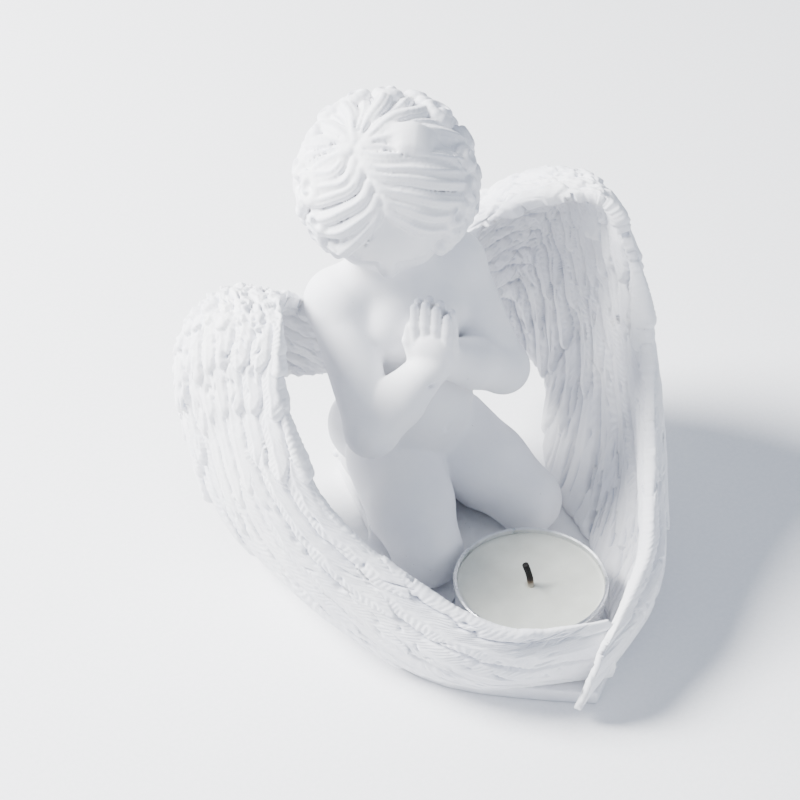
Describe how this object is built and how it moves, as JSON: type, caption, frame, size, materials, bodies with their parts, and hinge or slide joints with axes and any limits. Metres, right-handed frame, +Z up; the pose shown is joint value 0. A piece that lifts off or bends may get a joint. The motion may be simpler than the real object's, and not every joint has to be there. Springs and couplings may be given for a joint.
{
  "type": "angel figurine",
  "caption": "Kneeling praying angel in matte cast resin whose large feathered wings wrap forward into a bowl that holds a tealight in a foil cup.",
  "frame": {"origin": "on the plinth's underside, on the middle line of the heart shape, between the angel's knees and feet", "axes": "+Z up, -Y the way the angel faces and the point of the heart, +X towards the angel's left hand"},
  "size_m": [0.1213, 0.1207, 0.1227],
  "materials": {
    "resin": "matte white cast polyresin filled with stone powder",
    "foil": "bright drawn foil",
    "wax": "satin paraffin wax",
    "tinplate": "thin bright tinplate",
    "wick": "braided cotton, charred at the top"
  },
  "bodies": {
    "holder": {"plinth": "resin", "kneeling_figure": "resin", "left_wing": "resin", "right_wing": "resin"},
    "tealight_cup": {"candle_cup": "foil"},
    "candle": {"candle_wax": "wax", "wick_sustainer": "tinplate", "wick": "wick"}
  },
  "joints": [
    {"name": "candle_lift", "type": "slide", "parent": "holder", "child": "tealight_cup", "axis": [0, 0, 1], "range_m": [0, 0.05]},
    {"name": "wax_slide", "type": "slide", "parent": "tealight_cup", "child": "candle", "axis": [0, 0, 1], "range_m": [0, 0.03]}
  ]
}
